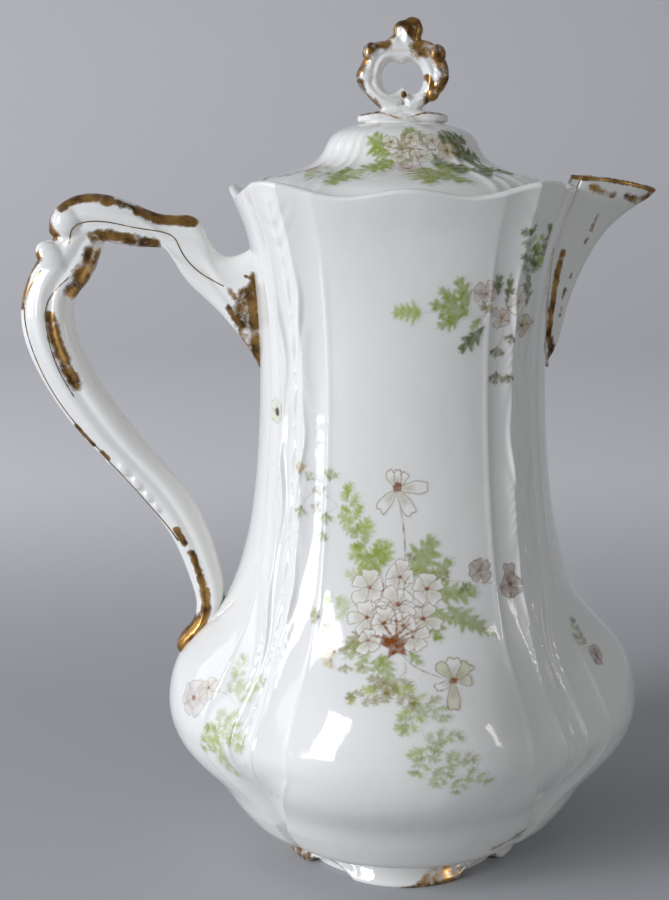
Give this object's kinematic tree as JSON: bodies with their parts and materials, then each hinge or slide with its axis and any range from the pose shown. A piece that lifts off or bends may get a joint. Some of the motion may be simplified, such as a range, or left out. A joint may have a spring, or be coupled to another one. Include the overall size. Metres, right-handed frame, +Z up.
{
  "type": "chocolate pot",
  "caption": "Tall lobed porcelain chocolate pot with a beak spout at the rim, a scrolled loop handle and a loose domed lid with a pierced finial.",
  "frame": {"origin": "on the surface the pot stands on, under the middle of its body", "axes": "+Z up, +X towards the spout, -X towards the handle"},
  "size_m": [0.1839, 0.1414, 0.2472],
  "materials": {
    "porcelain": "clear gloss glaze with worn gilding and painted flower sprays"
  },
  "bodies": {
    "pot": {"pot_body": "porcelain", "foot_ring": "porcelain", "spout": "porcelain", "handle": "porcelain"},
    "lid": {"lid": "porcelain", "finial": "porcelain"}
  },
  "joints": [
    {"name": "lid_lift", "type": "slide", "parent": "pot", "child": "lid", "axis": [0, 0, 1], "range_m": [0, 0.085]}
  ]
}
